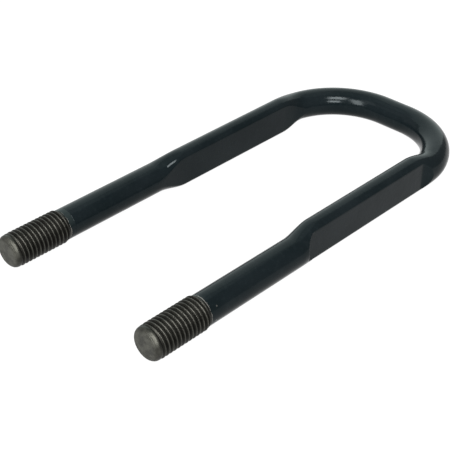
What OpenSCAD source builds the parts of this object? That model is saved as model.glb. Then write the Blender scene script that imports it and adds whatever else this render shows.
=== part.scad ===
// U-bolt that clamps a leaf spring to an axle, bent from one round bar.
// It lies flat: X runs across the legs, Y along them with the bow at +Y, and Z is up.
// The origin is on the resting surface, under the middle of the outline.
// Below the bow, both legs are pressed between dies to an oval with two flat faces.

/* [Bar and bend] */
// Diameter of the round bar over its paint
bar_d = 17.5; // [14:0.1:21]
// Clear width between the legs
inside_w = 88.9; // [74:0.1:107]
// Clear length from the inside of the bow to the tips
inside_l = 254; // [215:1:320]
// Length of the straight middle of the bow
crown_l = 16; // [4:0.5:40]

/* [Threaded ends] */
// Pitch of the thread
pitch = 2.54; // [1.5:0.01:3]
// Threaded length of each leg, without the rounded tip
thread_l = 33; // [25:0.5:60]
// Radius of the tip's rounded edge
tip_round = 3; // [1:0.1:5]

/* [Pressed flats] */
// Thickness left between the two pressed faces
flat_t = 11; // [8:0.1:14]
// Height of each pressed face
flat_h = 17.8; // [12:0.1:20]
// How far the rounded top and bottom stand past the edges of the pressed faces
round_h = 2.6; // [1:0.1:5]
// How far the pressed length sits towards the inside of the U
flat_shift = 1.85; // [0:0.05:3]
// Length of the outer pressed face, from the bend towards the tip
flat_l = 103; // [80:0.5:125]

/* [Hidden] */
$fn = 96;
bar_r = bar_d / 2;
leg_x = inside_w / 2 + bar_r;
crown_x = crown_l / 2;
bend_r = leg_x - crown_x;
paint_t = 0.05;
// The thread is rolled on the bare bar, which is as thick as the middle of its flanks
thread_d = bar_d - 2 * paint_t + 0.6495 * pitch;
swell_h = flat_h + 2 * round_h;
lift = max(swell_h, thread_d) / 2;
tip_land = 0.3;
tip_l = tip_round + tip_land;
total_l = inside_l + bar_d;
tip_y = -total_l / 2;
bend_y = total_l / 2 - bar_r - bend_r;
thread_y = tip_y + tip_l;
shank_y = thread_y + thread_l;

// Half width of the swollen oval, so that it crosses the edges of both pressed faces
oval_a = flat_t / 2 / sqrt(1 - pow(flat_h / swell_h, 2));
// The dies run a little way round the bend
wrap_deg = 20;
wrap_l = bend_r * wrap_deg * PI / 180;
// Ramps of the two faces and of the swelling, as distances along the bar from the bend
outer_near = [-4.5, 4];
inner_near = [-wrap_l, 8];
swell_near = [-13, 8];
outer_far = [flat_l + 1, flat_l + 8];
inner_far = [flat_l - 8, flat_l + 19];
swell_far = [flat_l - 9, flat_l + 10.5];
pressed_end = flat_l + 20;
flat_y = bend_y - pressed_end;
// Least half angle of the strip of section points that follows each face
strip_deg = 18;
arc_points = 15;
face_points = 7;
section_n = 2 * arc_points + 2 * face_points - 4;

// Thread form: flanks at sixty degrees, with a flat crest and a flat root
crest_r = thread_d / 2;
thread_h = 0.6134 * pitch;
root_r = crest_r - thread_h;
flank = thread_h * tan(30);
crest_w = pitch / 8;
ridge_w = crest_w + 2 * flank;
steps = 36;
margin = 0.3;
last = floor((thread_l - 2 * margin - ridge_w) / pitch * steps);
lead_steps = steps;
fade_steps = 1.5 * steps;
fade_step_h = 0.03;
// The tip stays just under the crests
tip_r = crest_r - 0.3;

paint = [0.05, 0.065, 0.07];
steel = [0.36, 0.35, 0.32];

function mix(a, b, t) = a + (b - a) * t;

// Eased step from 0 to 1 as v goes over a span
function ease(v, span) =
    let (t = min(1, max(0, (v - span[0]) / (span[1] - span[0]))))
    t * t * (3 - 2 * t);

// 1 along the pressed length, falling to 0 over the ramp at each end
function press(v, near, far) = ease(v, near) * (1 - ease(v, far));

// Angle of a face's edge on the section, for a face at this reach from its middle
function edge_angle(reach, ra) = acos(min(cos(strip_deg), reach / ra));

// Angles round the section, from the outer face's top edge, with a point on every edge
function section_angles(t1, t2) = concat(
    [for (k = [0 : arc_points - 1]) mix(t1, t2, k / (arc_points - 1))],
    [for (k = [1 : face_points - 2]) mix(t2, 360 - t2, k / (face_points - 1))],
    [for (k = [0 : arc_points - 1]) mix(360 - t2, 360 - t1, k / (arc_points - 1))],
    [for (k = [1 : face_points - 2]) mix(-t1, t1, k / (face_points - 1))]);

// Section of the leg at distance v from the bend, with the outside of the U positive
function leg_section(v) =
    let (s = press(v, swell_near, swell_far))
    let (cx = -flat_shift * s)
    let (ra = mix(bar_r, oval_a, s))
    let (rb = mix(bar_r, swell_h / 2, s))
    let (outer = mix(bar_r, flat_t / 2 - flat_shift, press(v, outer_near, outer_far)))
    let (inner = mix(bar_r, flat_t / 2 + flat_shift, press(v, inner_near, inner_far)))
    let (t1 = edge_angle(outer - cx, ra))
    let (t2 = 180 - edge_angle(inner + cx, ra))
    [for (t = section_angles(t1, t2)) [max(-inner, min(outer, cx + ra * cos(t))), rb * sin(t)]];

// Puts a section point on the right leg, straight or round the bend
function place(p, v) =
    let (w = v < 0 ? -v / wrap_l * wrap_deg : 0)
    let (r = bend_r + p[0])
    [crown_x + r * cos(w), bend_y - max(v, 0) + r * sin(w), lift + p[1]];

// Stations along the pressed length, close together on the ramps
plain_near = inner_near[1];
plain_far = swell_far[0];
ramp_near = flat_l - 1;
ramp_far = outer_far[1] + 1.5;
stations = concat(
    [for (k = [0 : 17]) mix(-wrap_l, plain_near, k / 17)],
    [for (k = [1 : 3]) mix(plain_near, plain_far, k / 3)],
    [for (k = [1 : 6]) mix(plain_far, ramp_near, k / 6)],
    [for (k = [1 : 12]) mix(ramp_near, ramp_far, k / 12)],
    [for (k = [1 : 6]) mix(ramp_far, pressed_end, k / 6)]);

module pressed_leg() {
    n = section_n;
    rows = len(stations) - 1;
    points = [for (v = stations) for (p = leg_section(v)) place(p, v)];
    near_cap = [[for (j = [0 : n - 1]) j]];
    far_cap = [[for (j = [n - 1 : -1 : 0]) rows * n + j]];
    walls = [for (k = [0 : rows - 1]) for (j = [0 : n - 1])
        let (a = k * n + j)
        let (b = k * n + (j + 1) % n)
        each [[a, a + n, b + n], [a, b + n, b]]];
    color(paint)
        polyhedron(points, concat(near_cap, walls, far_cap), convexity = 4);
}

// The pressed length of the leg at +X
module right_flat() {
    pressed_leg();
}

module left_flat() {
    mirror([1, 0, 0])
        pressed_leg();
}

// One bend, from where the dies end to the straight middle of the bow
module bend() {
    color(paint)
        translate([crown_x, bend_y, lift])
            rotate([0, 0, wrap_deg])
                rotate_extrude(angle = 90 - wrap_deg)
                    translate([bend_r, 0])
                        circle(r = bar_r);
}

module right_bend() {
    bend();
}

module left_bend() {
    mirror([1, 0, 0])
        bend();
}

// The straight middle of the bow
module crown() {
    color(paint)
        translate([-crown_x, bend_y + bend_r, lift])
            rotate([0, 90, 0])
                cylinder(h = 2 * crown_x, r = bar_r);
}

// Lays a shape made along +Z onto a leg, with its base towards the tip
module on_leg(x, y) {
    translate([x, y, lift])
        rotate([-90, 0, 0])
            children();
}

module shank(x) {
    color(paint)
        on_leg(x, shank_y)
            cylinder(h = flat_y - shank_y, r = bar_r);
}

module right_shank() {
    shank(leg_x);
}

module left_shank() {
    shank(-leg_x);
}

// The thread rises from the tip over its first turn and dies out into the bar
function lead_in(i) = ease(i, [-lead_steps, lead_steps]);
function fade_out(i) = ease(i, [last - fade_steps, last]);
function crest_at(i) = mix(mix(tip_r, crest_r, lead_in(i)), bar_r + fade_step_h, fade_out(i));
function root_at(i) = mix(root_r, bar_r, fade_out(i));
function on_turn(r, i, z) = [r * cos(360 * i / steps), r * sin(360 * i / steps), z];

// Four corners of the ridge at helix step i: foot, crest start, crest end, foot
function ridge(i) =
    let (z = margin + pitch * i / steps)
    [on_turn(root_at(i), i, z),
     on_turn(crest_at(i), i, z + flank),
     on_turn(crest_at(i), i, z + flank + crest_w),
     on_turn(root_at(i), i, z + ridge_w)];

// Two triangles over a quadrilateral
function quad(a, b, c, d) = [[a, b, c], [a, c, d]];

// Right-handed thread along +Z
module thread_body() {
    count = 4 * (last + 1);
    points = concat(
        [for (i = [0 : last]) each ridge(i)],
        [for (i = [0 : steps - 1]) on_turn(root_r, i, 0)],
        [for (i = [0 : steps - 1]) on_turn(bar_r, i, thread_l)]);
    // The ridge, and the root between one turn and the next
    ridge_faces = [for (i = [0 : last - 1]) for (m = [0 : 2])
        each quad(4 * i + m, 4 * i + m + 1, 4 * i + m + 5, 4 * i + m + 4)];
    root_faces = [for (i = [0 : last - 1 - steps])
        each quad(4 * i + 3, 4 * (i + steps), 4 * (i + steps) + 4, 4 * i + 7)];
    // The plain skirts under the first turn and over the last
    low = [for (i = [0 : steps]) count + i % steps];
    high = [for (i = [0 : steps]) count + steps + (last + i) % steps];
    low_faces = [for (i = [0 : steps - 2]) each quad(low[i], 4 * i, 4 * i + 4, low[i + 1])];
    high_faces = [for (i = [1 : steps - 1])
        let (a = 4 * (last - steps + i) + 3)
        each quad(a, high[i], high[i + 1], a + 4)];
    // Both ends of the ridge, closed against the skirts
    seam = low[steps - 1];
    before = 4 * (steps - 1);
    after = 4 * (last - steps) + 7;
    low_seam = [[seam, 0, low[steps]], [seam, 3, 0], [seam, before + 4, 3],
        [seam, before, before + 4]];
    high_seam = [[after, after - 4, 4 * last], [after, 4 * last, 4 * last + 3],
        [after, 4 * last + 3, high[0]], [after, high[0], high[1]]];
    ends = concat(
        quad(0, 3, 2, 1),
        quad(4 * last, 4 * last + 1, 4 * last + 2, 4 * last + 3),
        [[for (i = [0 : steps - 1]) low[i]]],
        [[for (i = [steps - 1 : -1 : 0]) high[i]]]);
    polyhedron(points,
        concat(ridge_faces, root_faces, low_faces, high_faces, low_seam, high_seam, ends),
        convexity = 10);
}

module thread(x) {
    color(steel)
        on_leg(x, thread_y)
            thread_body();
}

module right_thread() {
    thread(leg_x);
}

module left_thread() {
    thread(-leg_x);
}

// Rounded end of a leg, flat in the middle
module tip(x) {
    color(steel)
        on_leg(x, tip_y)
            rotate_extrude()
                intersection() {
                    square([tip_r, tip_l]);
                    union() {
                        square([tip_r - tip_round, tip_l]);
                        translate([0, tip_round])
                            square([tip_r, tip_l]);
                        translate([tip_r - tip_round, tip_round])
                            circle(r = tip_round);
                    }
                }
}

module right_tip() {
    tip(leg_x);
}

module left_tip() {
    tip(-leg_x);
}

crown();
right_bend();
left_bend();
right_flat();
left_flat();
right_shank();
left_shank();
right_thread();
left_thread();
right_tip();
left_tip();
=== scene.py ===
import math

import bpy
import numpy as np
from mathutils import Matrix, Vector


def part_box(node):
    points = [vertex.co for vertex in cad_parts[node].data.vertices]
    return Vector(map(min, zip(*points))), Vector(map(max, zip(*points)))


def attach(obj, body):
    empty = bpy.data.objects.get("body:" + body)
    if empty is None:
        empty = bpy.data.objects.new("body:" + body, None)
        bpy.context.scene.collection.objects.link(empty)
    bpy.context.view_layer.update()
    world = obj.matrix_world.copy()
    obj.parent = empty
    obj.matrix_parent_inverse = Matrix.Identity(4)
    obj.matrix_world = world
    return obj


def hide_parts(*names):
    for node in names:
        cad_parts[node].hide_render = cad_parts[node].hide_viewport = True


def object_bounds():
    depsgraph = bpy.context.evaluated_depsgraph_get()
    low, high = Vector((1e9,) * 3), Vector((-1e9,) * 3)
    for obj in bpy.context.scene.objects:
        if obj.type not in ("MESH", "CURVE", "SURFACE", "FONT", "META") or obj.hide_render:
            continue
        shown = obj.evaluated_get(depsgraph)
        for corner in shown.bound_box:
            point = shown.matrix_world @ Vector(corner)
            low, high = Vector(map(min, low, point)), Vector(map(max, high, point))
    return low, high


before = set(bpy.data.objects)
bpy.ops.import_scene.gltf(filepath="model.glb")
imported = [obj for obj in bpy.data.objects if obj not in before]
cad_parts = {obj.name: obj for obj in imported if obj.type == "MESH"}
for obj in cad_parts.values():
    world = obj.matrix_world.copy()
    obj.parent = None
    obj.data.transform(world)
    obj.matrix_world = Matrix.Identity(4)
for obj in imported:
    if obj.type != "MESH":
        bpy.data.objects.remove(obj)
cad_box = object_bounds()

MM = 0.001


def span(node):
    """Both corners of a node as arrays."""
    low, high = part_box(node)
    return np.array(low), np.array(high)


crown_low, crown_high = span("crown")
flat_low, flat_high = span("right_flat")
shank_low, shank_high = span("right_shank")

bar_r = (crown_high[1] - crown_low[1]) / 2
bow_y = (crown_high[1] + crown_low[1]) / 2
crown_x = crown_high[0]
leg_x = (shank_low[0] + shank_high[0]) / 2
lift = (shank_low[2] + shank_high[2]) / 2
bend_r = leg_x - crown_x
bend_y = bow_y - bend_r
shank_end_v = bend_y - shank_low[1]
bend_end_v = -bend_r * math.pi / 2
crown_mid_v = bend_end_v - crown_x

# How the dies leave the legs, measured across the U
flat_t = 11 * MM
flat_h = 17.8 * MM
flat_shift = 1.85 * MM
flat_l = 103 * MM
swell_r = (flat_high[2] - flat_low[2]) / 2
oval_a = flat_t / 2 / math.sqrt(1 - (flat_h / 2 / swell_r) ** 2)
die_radius = 0.42 * MM
least_radius = 0.0001 * MM

# Where each ramp starts and ends, along the bar from the end of the bend
wrap_l = bend_r * math.radians(20)
outer_near = (-4.5 * MM, 4 * MM)
inner_near = (-wrap_l, 8 * MM)
swell_near = (-13 * MM, 8 * MM)
outer_far = (flat_l + 1.5 * MM, flat_l + 6.5 * MM)
# The outer face ends in rounded corners, this far back at its upper and lower edges
corner_l = 5.5 * MM
corner_power = 4
inner_far = (flat_l - 8 * MM, flat_l + 19 * MM)
swell_far = (flat_l - 9 * MM, flat_l + 10.5 * MM)
flat_end_v = bend_y - flat_low[1]

# Least half angle of the strip of points that follows each face, and the points used
strip = math.radians(18)
arc_count = 41
face_count = 17


def mix(a, b, t):
    return a + (b - a) * t


def ease(v, ends):
    t = np.clip((v - ends[0]) / (ends[1] - ends[0]), 0, 1)
    return t * t * (3 - 2 * t)


def press(v, near, far):
    return ease(v, near) * (1 - ease(v, far))


def gather(a, b, count):
    """Angles from a to b that crowd together at both ends."""
    t = 0.5 - 0.5 * np.cos(np.linspace(0, np.pi, count))
    return a + (b - a) * t


def soft_less(a, b, radius):
    """The lesser of a and b, with a rounded corner where they cross."""
    h = np.clip(0.5 + 0.5 * (b - a) / radius, 0, 1)
    return b + (a - b) * h - radius * h * (1 - h)


def outer_reach(v, back):
    """How far out the outer face stands at v, with its far end drawn back."""
    pressed = ease(v, outer_near) * (1 - ease(v + back, outer_far))
    return mix(bar_r, flat_t / 2 - flat_shift, pressed)


def bar_section(v):
    """Section of the bar at v: distance out of the U, and height from its middle."""
    s = press(v, swell_near, swell_far)
    cx = -flat_shift * s
    ra = mix(bar_r, oval_a, s)
    rb = mix(bar_r, swell_r, s)
    outer = outer_reach(v, corner_l)
    inner = mix(bar_r, flat_t / 2 + flat_shift, press(v, inner_near, inner_far))
    t1 = math.acos(min(math.cos(strip), (outer - cx) / ra))
    t2 = math.pi - math.acos(min(math.cos(strip), (inner + cx) / ra))
    t = np.concatenate([
        gather(t1, t2, arc_count)[:-1],
        gather(t2, 2 * np.pi - t2, face_count)[:-1],
        gather(2 * np.pi - t2, 2 * np.pi - t1, arc_count)[:-1],
        gather(-t1, t1, face_count)[:-1]])
    x = cx + ra * np.cos(t)
    z = rb * np.sin(t)
    # Away from its corners the outer face runs on a little further
    back = corner_l * np.minimum(1, np.abs(z) / (flat_h / 2)) ** corner_power
    outer = outer_reach(v, back)
    # Where a face cuts in less than the dies' corner, the corner shrinks with the cut
    x = soft_less(x, outer, np.clip(cx + ra - outer, least_radius, die_radius))
    x = -soft_less(-x, inner, np.clip(ra - cx - inner, least_radius, die_radius))
    return x, z


def bar_ring(v, side):
    """The section at v, put in its place on the U."""
    x, z = bar_section(v)
    if v >= 0:
        px = leg_x + x
        py = np.full_like(x, bend_y - v)
    elif v >= bend_end_v:
        w = -v / bend_r
        px = crown_x + (bend_r + x) * math.cos(w)
        py = bend_y + (bend_r + x) * math.sin(w)
    else:
        px = np.full_like(x, v - crown_mid_v)
        py = bend_y + bend_r + x
    return np.stack([side * px, py, lift + z], 1)


def bar_normals(v, side):
    """Outward normals of the ring at v, from its neighbours round and along the bar."""
    step = 0.05 * MM
    ring = bar_ring(v, side)
    along = bar_ring(v + step, side) - bar_ring(v - step, side)
    # The shortest chord that spans each point, so that soft corners stay crisp
    ahead = np.roll(ring, -1, 0) - ring
    behind = ring - np.roll(ring, 1, 0)
    la = np.linalg.norm(ahead, axis=1, keepdims=True)
    lb = np.linalg.norm(behind, axis=1, keepdims=True)
    around = ahead / la * lb + behind / lb * la
    n = np.cross(around, along) * side
    return n / np.linalg.norm(n, axis=1, keepdims=True)


def stations(*runs):
    """Places along the bar, from runs of (start, end, step)."""
    out = []
    for start, end, step in runs:
        count = max(1, int(math.ceil(abs(end - start) / step - 1e-6)))
        out += list(np.linspace(start, end, count + 1)[:-1])
    return out + [runs[-1][1]]


def closed_tube(name, rings, normals, side):
    """A tube through the rings, closed by a flat face at each end."""
    rows, n = len(rings), len(rings[0])
    points = np.concatenate(rings)
    faces, loop_normals = [], []
    for k in range(rows - 1):
        for j in range(n):
            a, b = k * n + j, k * n + (j + 1) % n
            face = [a, b, b + n, a + n]
            if side < 0:
                face.reverse()
            faces.append(face)
            loop_normals += [normals[i // n][i % n] for i in face]
    for row in (0, rows - 1):
        cap = [row * n + j for j in range(n)]
        outward = np.cross(rings[row][1] - rings[row][0], rings[row][n // 4] - rings[row][0])
        outward /= np.linalg.norm(outward)
        inner_row = rings[1] if row == 0 else rings[rows - 2]
        away = rings[row].mean(0) - inner_row.mean(0)
        if outward @ away < 0:
            cap.reverse()
            outward = -outward
        faces.append(cap)
        loop_normals += [outward] * n
    mesh = bpy.data.meshes.new(name)
    mesh.from_pydata(points.tolist(), [], faces)
    mesh.polygons.foreach_set("use_smooth", [True] * len(faces))
    mesh.normals_split_custom_set([tuple(x) for x in loop_normals])
    mesh.update()
    piece = bpy.data.objects.new(name, mesh)
    bpy.context.scene.collection.objects.link(piece)
    return piece


class Nodes:
    """A material's nodes, linked as they are made."""

    def __init__(self, name):
        self.material = bpy.data.materials.new(name)
        self.material.use_nodes = True
        self.tree = self.material.node_tree
        self.shader = self.tree.nodes["Principled BSDF"]

    def add(self, kind, inputs=None, **settings):
        node = self.tree.nodes.new("ShaderNode" + kind)
        for key, value in settings.items():
            setattr(node, key, value)
        for key, value in (inputs or {}).items():
            self.put(node.inputs[key], value)
        return node

    def put(self, socket, value):
        if isinstance(value, bpy.types.NodeSocket):
            self.tree.links.new(value, socket)
        else:
            socket.default_value = value

    def noise(self, where, scale, detail=2.0, roughness=0.5):
        inputs = {"Vector": where, "Scale": scale, "Detail": detail, "Roughness": roughness}
        return self.add("TexNoise", inputs).outputs["Fac"]

    def ramp(self, value, low, high, to_low=0.0, to_high=1.0, smooth=True):
        inputs = {"Value": value, "From Min": low, "From Max": high,
                  "To Min": to_low, "To Max": to_high}
        kind = "SMOOTHSTEP" if smooth else "LINEAR"
        return self.add("MapRange", inputs, interpolation_type=kind).outputs["Result"]

    def math(self, what, a, b=0.0, c=0.0):
        node = self.add("Math", operation=what)
        for socket, value in zip(node.inputs, (a, b, c)):
            self.put(socket, value)
        return node.outputs[0]

    def blend(self, amount, a, b):
        node = self.add("Mix", data_type="RGBA")
        self.put(node.inputs[0], amount)
        self.put(node.inputs[6], a)
        self.put(node.inputs[7], b)
        return node.outputs[2]

    def bump(self, height, depth, strength=1.0, below=None):
        inputs = {"Height": height, "Distance": depth, "Strength": strength}
        if below is not None:
            inputs["Normal"] = below
        return self.add("Bump", inputs).outputs["Normal"]


# Blue green black of the baked coat, from where it lies thick to where it lies thin
coat_thick = (0.0023, 0.0038, 0.0044, 1)
coat_thin = (0.0037, 0.0054, 0.0062, 1)
coat_fleck = (0.0058, 0.0082, 0.0091, 1)
coat_sheen = (0.88, 0.98, 1.0, 1)
coat_index = 1.17
# Grey of the thin first film, shown only towards the top of the bar as a painted sheen
film_and_sheen_grey = (0.0125, 0.0165, 0.0160, 1)
chip_dark = (0.07, 0.066, 0.060, 1)
chip_light = (0.16, 0.155, 0.145, 1)
# How far the torn edge, the chips and the first film reach from the thread
coat_end_y = float(shank_low[1])
torn_reach = 1.1 * MM
chips_near, chips_far = 2 * MM, 6 * MM
film_near, film_far = 3.6 * MM, 3.85 * MM
# The sliver on the left leg climbs towards the bow, and fades at both ends
sliver_rise = 0.245
sliver_height = 25.2 * MM
sliver_core, sliver_rim = 0.15 * MM, 0.5 * MM
sliver_start = (-26.0 * MM, -25.2 * MM)
sliver_end = (-22.0 * MM, -15.0 * MM)
sliver_lean = (0.0, -0.38, 0.04)


def worn_through(m, where, y):
    """Where the steel shows: a torn edge at the thread, with a few chips just past it."""
    coarse_tear = m.noise(where, 330.0, 3.0)
    fine_tear = m.math("MULTIPLY", m.noise(where, 1300.0, 2.0), 0.4)
    torn = m.math("ADD", coarse_tear, fine_tear)
    reach = m.ramp(y, coat_end_y, coat_end_y + torn_reach, 0.90, 0.35, smooth=False)
    edge = m.ramp(m.math("SUBTRACT", reach, torn), 0.02, 0.06)
    cells = m.add("TexVoronoi", {"Vector": where, "Scale": 210.0}).outputs["Distance"]
    near_end = m.ramp(y, coat_end_y + chips_near, coat_end_y + chips_far, 1.0, 0.0)
    chips = m.math("MULTIPLY", m.ramp(cells, 0.09, 0.13, 1.0, 0.0), near_end)
    return m.math("MAXIMUM", edge, chips)


def first_film(m, where, y, left):
    """Where only a thin first film covers the left leg, before the full coat begins."""
    wander = m.math("MULTIPLY", m.noise(where, 150.0, 2.0), 0.4 * MM)
    film = m.ramp(m.math("ADD", y, wander), coat_end_y + film_near, coat_end_y + film_far, 1.0, 0.0)
    return m.math("MULTIPLY", film, left)


def leaning_sliver(m, y, z, left, normal):
    """The normal, tilted to the tip on the sliver that the dies' corner left on the left leg."""
    line = m.math("ADD", z, m.math("MULTIPLY_ADD", y, -sliver_rise, -sliver_height))
    sliver = m.ramp(m.math("ABSOLUTE", line), sliver_core, sliver_rim, 1.0, 0.0)
    sliver = m.math("MULTIPLY", sliver, m.ramp(y, *sliver_start))
    sliver = m.math("MULTIPLY", sliver, m.ramp(y, *sliver_end, 1.0, 0.0))
    sliver = m.math("MULTIPLY", sliver, left)
    smooth = m.add("Mix", data_type="VECTOR")
    m.put(smooth.inputs[0], sliver)
    m.put(smooth.inputs[4], normal)
    m.put(smooth.inputs[5], m.add("NewGeometry").outputs["Normal"])
    lean = m.add("VectorMath", operation="SCALE")
    m.put(lean.inputs[0], sliver_lean)
    m.put(lean.inputs["Scale"], sliver)
    tilted = m.add("VectorMath", operation="ADD")
    m.put(tilted.inputs[0], smooth.outputs[1])
    m.put(tilted.inputs[1], lean.outputs["Vector"])
    unit = m.add("VectorMath", operation="NORMALIZE")
    m.put(unit.inputs[0], tilted.outputs["Vector"])
    return unit.outputs["Vector"]


def black_coat():
    """Glossy black dip coat over rolled steel, thin and chipped at its edge by the thread."""
    m = Nodes("black_dip_coat")
    where = m.add("TexCoord").outputs["Object"]
    x, y, z = m.add("SeparateXYZ", {"Vector": where}).outputs
    left = m.math("LESS_THAN", x, 0.0)
    bare = worn_through(m, where, y)
    film = first_film(m, where, y, left)
    # A little uneven from the bath, with fine flecks, bare steel in the chips and the film on top;
    # the film's grey fades in only towards the top of the bar, a painted sheen where light falls
    cloud = m.ramp(m.noise(where, 38.0, 3.0), 0.35, 0.68)
    flecks = m.ramp(m.noise(where, 420.0, 3.0), 0.5, 0.75, 0.0, 0.3)
    colour = m.blend(cloud, coat_thick, coat_thin)
    colour = m.blend(flecks, colour, coat_fleck)
    colour = m.blend(bare, colour, m.blend(m.noise(where, 900.0), chip_dark, chip_light))
    # Painted sheen: the film's grey grows from the middle of the bar to its top and is absent below
    film_with_top_sheen = m.math("MULTIPLY", film, m.ramp(z, float(lift), float(lift + bar_r), 0.0, 0.55))
    colour = m.blend(film_with_top_sheen, colour, film_and_sheen_grey)
    rough = m.ramp(m.noise(where, 120.0, 4.0), 0.3, 0.7, 0.13, 0.19)
    rough = m.math("ADD", rough, m.math("MULTIPLY", bare, 0.25))
    m.put(m.shader.inputs["Base Color"], colour)
    m.put(m.shader.inputs["Roughness"], rough)
    m.put(m.shader.inputs["Metallic"], m.math("MULTIPLY", bare, 0.85))
    m.shader.inputs["IOR"].default_value = coat_index
    m.shader.inputs["Specular Tint"].default_value = coat_sheen
    # Slow waves, orange peel of the baked coat, pits of the scale under it, then the two edges
    pits = m.add("TexVoronoi", {"Vector": where, "Scale": 1500.0}).outputs["Distance"]
    n = m.bump(m.noise(where, 160.0, 2.0), 0.25 * MM, 0.25)
    n = m.bump(m.noise(where, 620.0, 1.5), 0.06 * MM, 0.45, n)
    n = m.bump(m.ramp(pits, 0.0, 0.35), 0.02 * MM, 0.25, n)
    n = m.bump(m.math("SUBTRACT", 1.0, bare), 0.05 * MM, 0.8, n)
    n = m.bump(m.math("SUBTRACT", 1.0, film), 0.08 * MM, 1.0, n)
    m.put(m.shader.inputs["Normal"], leaning_sliver(m, y, z, left, n))
    return m.material


coat = black_coat()


def painted_piece(name, node, side, along):
    """One stretch of the painted bar, standing for its node."""
    rings = [bar_ring(v, side) for v in along]
    normals = [bar_normals(v, side) for v in along]
    piece = closed_tube(name, rings, normals, side)
    piece.data.materials.append(coat)
    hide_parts(node)
    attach(piece, "root")


# ---------------------------------------------------------------------------
# Crown. The straight middle of the bow sits on top of the spring plate. It
# is the bar as rolled, left round.
# ---------------------------------------------------------------------------
def crown_rings():
    """Rings and normals from the left bend to the right one, meeting in the middle."""
    half_crown = stations((crown_mid_v, bend_end_v, 1.6 * MM))
    far_half = half_crown[:0:-1]
    crown_bar_rings = [bar_ring(v, -1) for v in far_half] + [bar_ring(v, 1) for v in half_crown]
    crown_normals = [bar_normals(v, -1) for v in far_half] + [bar_normals(v, 1) for v in half_crown]
    return crown_bar_rings, crown_normals


crown = closed_tube("crown_bar", *crown_rings(), 1)
crown.data.materials.append(coat)
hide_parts("crown")
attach(crown, "root")

# ---------------------------------------------------------------------------
# Bends. Each quarter turn is bent hot round a former, so the bar stays
# round until it runs into the dies that press the legs.
# ---------------------------------------------------------------------------
bend_run = stations((bend_end_v, -wrap_l, 1.3 * MM))
painted_piece("right_bend_bar", "right_bend", 1, bend_run)
painted_piece("left_bend_bar", "left_bend", -1, bend_run)

# ---------------------------------------------------------------------------
# Pressed flats. Below the bow each leg is squeezed between dies: a broad
# flat on the outside and the inside, with the steel swelling above and below.
# ---------------------------------------------------------------------------
ramps_end = inner_near[1]
corner_start = outer_far[0] - corner_l - 1 * MM
corner_end = outer_far[1] + 1 * MM
flat_run = stations(
    (-wrap_l, outer_near[0], 0.5 * MM),
    (outer_near[0], ramps_end, 0.28 * MM),
    (ramps_end, swell_far[0], 1.5 * MM),
    (swell_far[0], corner_start, 0.6 * MM),
    (corner_start, corner_end, 0.22 * MM),
    (corner_end, flat_end_v, 0.5 * MM))
painted_piece("right_pressed_leg", "right_flat", 1, flat_run)
painted_piece("left_pressed_leg", "left_flat", -1, flat_run)

# ---------------------------------------------------------------------------
# Shanks. The round stretch between the flats and the threads goes through
# the holes of the clamp plate. The coat stops in a ragged edge at its end.
# ---------------------------------------------------------------------------
shank_run = stations((flat_end_v, shank_end_v, 1.2 * MM))
painted_piece("right_shank_bar", "right_shank", 1, shank_run)
painted_piece("left_shank_bar", "left_shank", -1, shank_run)

# ---------------------------------------------------------------------------
# Threaded ends. The bare ends of the bar are rolled to a coarse right-handed
# thread and left in dark oiled steel, with the tip's edge rounded off.
# ---------------------------------------------------------------------------
thread_low, thread_high = span("right_thread")
tip_low, tip_high = span("right_tip")
pitch = 2.54 * MM
crest_r = (thread_high[0] - thread_low[0]) / 2
thread_depth = 0.6134 * pitch
root_r = crest_r - thread_depth
tip_r = (tip_high[0] - tip_low[0]) / 2
tip_y = tip_low[1]
tip_round = 3 * MM
end_l = thread_high[1] - tip_y
groove_start = tip_high[1] - tip_y
columns = 96
# Places across one pitch, measured from the crest, close together on its corners
half_pitch = [0.0, 0.08, 0.15, 0.22, 0.31, 0.44, 0.6, 0.76, 0.9, 1.0, 1.1, 1.19]
across = [p * MM for p in half_pitch] + [pitch / 2] + [pitch - p * MM for p in half_pitch[:0:-1]]


def soft_step(x, a, b):
    t = np.clip((x - a) / (b - a), 0, 1)
    return t * t * (3 - 2 * t)


def groove_share(t, turn):
    """How deep the thread's groove is at t along the end, from 0 on a crest to 1 in a root."""
    phase = (t - pitch * turn) / pitch
    off = np.abs(phase - np.round(phase)) * pitch
    slope = (off - pitch / 14) / math.tan(math.radians(30))
    cut = -soft_less(-slope, 0.0, 0.16 * MM)
    return soft_less(cut, thread_depth, 0.5 * MM) / thread_depth


def end_radius(t, turn):
    """Radius of the end at t from its face, through the thread and its run-out."""
    rise = soft_step(t, groove_start - 0.2 * pitch, groove_start + 0.8 * pitch)
    top = mix(tip_r, crest_r - 0.02 * MM, rise)
    top = mix(top, bar_r - 0.05 * MM, soft_step(t, end_l - 1.9 * MM, end_l - 0.35 * MM))
    depth = soft_step(t, groove_start - 0.15 * pitch, groove_start + 0.55 * pitch)
    depth = depth * (1 - soft_step(t, end_l - 2.6 * MM, end_l - 0.6 * MM))
    return top - np.maximum(top - root_r, 0) * depth * groove_share(t, turn)


def thread_lines():
    """For each column round the end: the lines of the helix on it, and how far along each is."""
    first = tip_round
    per_turn = len(across)
    lines = []
    for j in range(columns + 1):
        on_it = {}
        for k in range(-2, int(end_l / pitch) + 2):
            for m, p in enumerate(across):
                t = p + pitch * (k + j / columns)
                if first + 0.02 * MM < t < end_l - 0.02 * MM:
                    on_it[k * per_turn + m] = t
        lines.append(on_it)
    return lines, per_turn


def join_columns(faces, low, high, here, there):
    """Faces between two neighbouring columns, which may start and end a line apart."""
    shared = sorted(set(here) & set(there))
    for a, b in zip(shared[:-1], shared[1:]):
        faces.append((here[a], here[b], there[b], there[a]))
    first = [there[i] for i in sorted(there) if i <= shared[0]]
    first_here = [here[i] for i in sorted(here) if i <= shared[0]]
    faces.append([low[0]] + first_here + first[::-1] + [low[1]])
    last = [there[i] for i in sorted(there) if i >= shared[-1]]
    last_here = [here[i] for i in sorted(here) if i >= shared[-1]]
    faces.append(last_here + [high[0], high[1]] + last[::-1])


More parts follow.
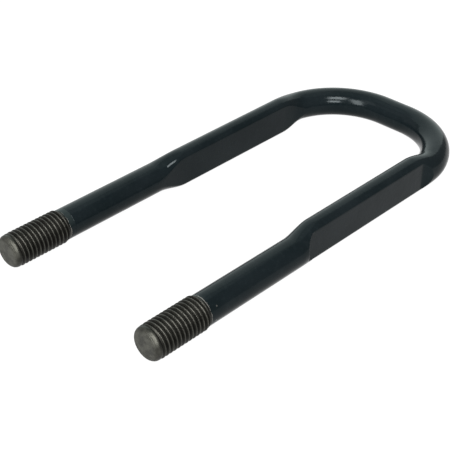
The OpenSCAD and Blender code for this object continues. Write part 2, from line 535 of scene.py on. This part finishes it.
def end_mesh(name, x):
    """The tip, the thread and its run-out as one skin whose edges follow the helix."""
    points, faces = [], []

    def put(t, r, turn):
        a = 2 * math.pi * turn
        points.append((x + r * math.cos(a), tip_y + t, lift - r * math.sin(a)))
        return len(points) - 1

    def ring(t, r):
        return [put(t, r, j / columns) for j in range(columns)]

    centre = put(0.0, 0.0, 0.0)
    face_r = tip_r - tip_round
    loops = [ring(0.0, face_r * share) for share in (0.2, 0.4, 0.6, 0.8, 0.93)]
    for a in np.linspace(0, math.pi / 2, 17):
        loops.append(ring(tip_round * (1 - math.cos(a)), face_r + tip_round * math.sin(a)))
    for j in range(columns):
        faces.append((centre, loops[0][j], loops[0][(j + 1) % columns]))
    for low, high in zip(loops[:-1], loops[1:]):
        for j in range(columns):
            n = (j + 1) % columns
            faces.append((low[j], high[j], high[n], low[n]))
    low, high = loops[-1], ring(end_l, bar_r - 0.05 * MM)
    lines, per_turn = thread_lines()
    made = []
    for j in range(columns):
        turn = j / columns
        made.append({i: put(t, float(end_radius(t, turn)), turn) for i, t in lines[j].items()})
    for j in range(columns):
        n = (j + 1) % columns
        there = made[n] if n else {i - per_turn: p for i, p in made[0].items()}
        join_columns(faces, (low[j], low[n]), (high[j], high[n]), made[j], there)
    faces.append(high[::-1])
    mesh = bpy.data.meshes.new(name)
    mesh.from_pydata(points, [], faces)
    mesh.polygons.foreach_set("use_smooth", [True] * (len(faces) - 1) + [False])
    mesh.validate()
    mesh.update()
    return mesh


# Painted shade in the roots, plain flanks, rubbed crests and the turned face, each from dark to
# light
root_shade_dark, root_shade_light = (0.003, 0.0029, 0.0022, 1), (0.009, 0.0088, 0.0070, 1)
flank_dark, flank_light = (0.008, 0.0079, 0.0064, 1), (0.020, 0.0196, 0.0165, 1)
crest_dark, crest_light = (0.030, 0.0295, 0.0250, 1), (0.072, 0.0705, 0.061, 1)
face_dark, face_light = (0.033, 0.0331, 0.0280, 1), (0.066, 0.0660, 0.0560, 1)
# Turning marks on the tip, as radians of wave for each metre of radius
turning_wave = 8200.0


def oiled_steel():
    """Rolled thread steel: painted shade darkens the roots, and the crests are rubbed lighter."""
    m = Nodes("oiled_thread_steel")
    where = m.add("TexCoord").outputs["Object"]
    x, y, z = m.add("SeparateXYZ", {"Vector": where}).outputs
    dx = m.math("SUBTRACT", m.math("ABSOLUTE", x), float(leg_x))
    dz = m.math("SUBTRACT", z, float(lift))
    r = m.math("SQRT", m.math("ADD", m.math("MULTIPLY", dx, dx), m.math("MULTIPLY", dz, dz)))
    mottle = m.noise(where, 260.0, 4.0, 0.6)
    fine = m.noise(where, 1900.0, 3.0, 0.6)
    # Crest wear follows the radius, broken up by the mottling
    height = m.math("ADD", r, m.math("MULTIPLY", m.math("SUBTRACT", mottle, 0.5), 0.6 * MM))
    crest = m.ramp(height, float(crest_r - 0.34 * MM), float(crest_r + 0.04 * MM))
    # Painted shade: the colour darkens towards the roots of the thread, by radius
    root = m.ramp(r, float(root_r + 0.2 * MM), float(crest_r - 0.2 * MM), 0.0, 1.0)
    tip = m.ramp(y, float(tip_y + 1.6 * MM), float(tip_y + 3.4 * MM), 1.0, 0.0)
    dark = m.blend(mottle, root_shade_dark, root_shade_light)
    mid = m.blend(fine, flank_dark, flank_light)
    bright = m.blend(mottle, crest_dark, crest_light)
    colour = m.blend(root, dark, mid)
    colour = m.blend(crest, colour, bright)
    face = m.blend(m.ramp(mottle, 0.35, 0.65), face_dark, face_light)
    # Painted shade on the tip's rounded rim: the face colour blends towards the darker flank colour
    # there, dimming its glint
    painted_rim_shade = m.ramp(r, float(tip_r - 2.6 * MM), float(tip_r - 0.4 * MM), 0.0, 0.55)
    face = m.blend(painted_rim_shade, face, mid)
    colour = m.blend(tip, colour, face)
    m.put(m.shader.inputs["Base Color"], colour)
    m.shader.inputs["Metallic"].default_value = 0.9
    rough = m.ramp(m.math("ADD", fine, mottle), 0.7, 1.3, 0.34, 0.52)
    rough = m.math("ADD", rough, m.math("MULTIPLY", m.math("SUBTRACT", 1.0, root), 0.12))
    m.put(m.shader.inputs["Roughness"], rough)
    # Turning marks on the tip, then mottling and a fine grain all over
    wobble = m.math("ADD", r, m.math("MULTIPLY", mottle, 0.4 * MM))
    marks = m.math("SINE", m.math("MULTIPLY", wobble, turning_wave))
    n = m.bump(m.math("MULTIPLY", marks, tip), 0.04 * MM, 0.7)
    n = m.bump(mottle, 0.18 * MM, 0.5, n)
    n = m.bump(fine, 0.05 * MM, 0.6, n)
    m.put(m.shader.inputs["Normal"], n)
    return m.material


steel = oiled_steel()


def threaded_end(name, x, nodes):
    piece = bpy.data.objects.new(name, end_mesh(name, x))
    bpy.context.scene.collection.objects.link(piece)
    piece.data.materials.append(steel)
    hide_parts(*nodes)
    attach(piece, "root")


threaded_end("right_threaded_end", leg_x, ("right_thread", "right_tip"))
threaded_end("left_threaded_end", -leg_x, ("left_thread", "left_tip"))

# ---------------------------------------------------------------------------
# Floor. A white glowing table, wide enough to fill every view.
# ---------------------------------------------------------------------------
floor_z = cad_box[0][2]
table_half = 12.0
table_grey = (0.05, 0.05, 0.05, 1)
table_glow = 0.97


def light_table():
    m = Nodes("white_light_table")
    m.shader.inputs["Base Color"].default_value = table_grey
    m.shader.inputs["Roughness"].default_value = 1.0
    m.shader.inputs["Specular IOR Level"].default_value = 0.0
    m.shader.inputs["Emission Color"].default_value = (1.0, 1.0, 1.0, 1)
    m.shader.inputs["Emission Strength"].default_value = table_glow
    return m.material


table_corners = [(x * table_half, y * table_half, floor_z)
                 for x, y in ((-1, -1), (1, -1), (1, 1), (-1, 1))]
table_mesh = bpy.data.meshes.new("light_table")
table_mesh.from_pydata(table_corners, [], [(0, 1, 2, 3)])
table = bpy.data.objects.new("light_table", table_mesh)
bpy.context.scene.collection.objects.link(table)
table.data.materials.append(light_table())

# ---------------------------------------------------------------------------
# Studio. Broad, weak, cool panels hang behind the table and over it in a dim
# room, two more stand to the left, and three small bright ones make the glints.
# ---------------------------------------------------------------------------
middle = Vector((0.0, 0.0, float(lift)))
panel_distance = 2.0
white = (1.0, 1.0, 1.0)
cool = (0.86, 1.0, 0.97)
room_grey = (0.33, 0.335, 0.34, 1)


def panel(name, azimuth, elevation, width, height, glow, tint=white):
    """A soft light that faces the middle of the table, glow being its brightness."""
    a, e = math.radians(azimuth), math.radians(elevation)
    away = Vector((math.sin(a) * math.cos(e), -math.cos(a) * math.cos(e), math.sin(e)))
    data = bpy.data.lights.new(name, "AREA")
    data.shape = "RECTANGLE"
    data.size = width
    data.size_y = height
    data.energy = glow * math.pi * width * height
    data.color = tint
    light = bpy.data.objects.new(name, data)
    bpy.context.scene.collection.objects.link(light)
    light.location = middle + away * panel_distance
    light.rotation_euler = away.to_track_quat("Z", "Y").to_euler()


panel("back_low", 230, 16, 3.4, 1.1, 1.45, cool)
panel("back_high", 228, 44, 3.0, 0.9, 1.5, cool)
panel("sky", 232, 78, 2.2, 1.3, 0.8, cool)
panel("left_panel", 296, 32, 1.2, 1.5, 0.5)
panel("side_panel", 338, 50, 0.9, 0.9, 2.0)
panel("window_low", 52, 26, 0.75, 0.48, 36.0)
panel("window_high", 50, 55, 0.80, 0.70, 33.0)
panel("window_slim", 6, 34, 0.62, 1.30, 24.0)

world = bpy.data.worlds.new("dim_room")
world.use_nodes = True
world.node_tree.nodes["Background"].inputs["Color"].default_value = room_grey
world.node_tree.nodes["Background"].inputs["Strength"].default_value = 1.0
bpy.context.scene.world = world
bpy.context.scene.view_settings.view_transform = "Standard"

# ---------------------------------------------------------------------------
# Camera. It looks down over the tips towards the bow, from the right.
# ---------------------------------------------------------------------------
azimuth = math.radians(44.025)
elevation = math.radians(34.255)
roll = math.radians(0.233)
camera_distance = 0.60888
back = Vector((math.sin(azimuth) * math.cos(elevation),
               -math.cos(azimuth) * math.cos(elevation), math.sin(elevation)))
aim = Vector((0.009945, -0.037051, float(lift)))
right = Vector((math.cos(azimuth), math.sin(azimuth), 0))
up = back.cross(right)
turned_right = right * math.cos(roll) + up * math.sin(roll)
turned_up = up * math.cos(roll) - right * math.sin(roll)
camera_data = bpy.data.cameras.new("camera")
camera_data.sensor_width = 36
camera_data.lens = 89.816
camera = bpy.data.objects.new("camera", camera_data)
bpy.context.scene.collection.objects.link(camera)
place = aim + back * camera_distance
camera.matrix_world = Matrix((
    (turned_right.x, turned_up.x, back.x, place.x),
    (turned_right.y, turned_up.y, back.y, place.y),
    (turned_right.z, turned_up.z, back.z, place.z),
    (0, 0, 0, 1)))
bpy.context.scene.camera = camera
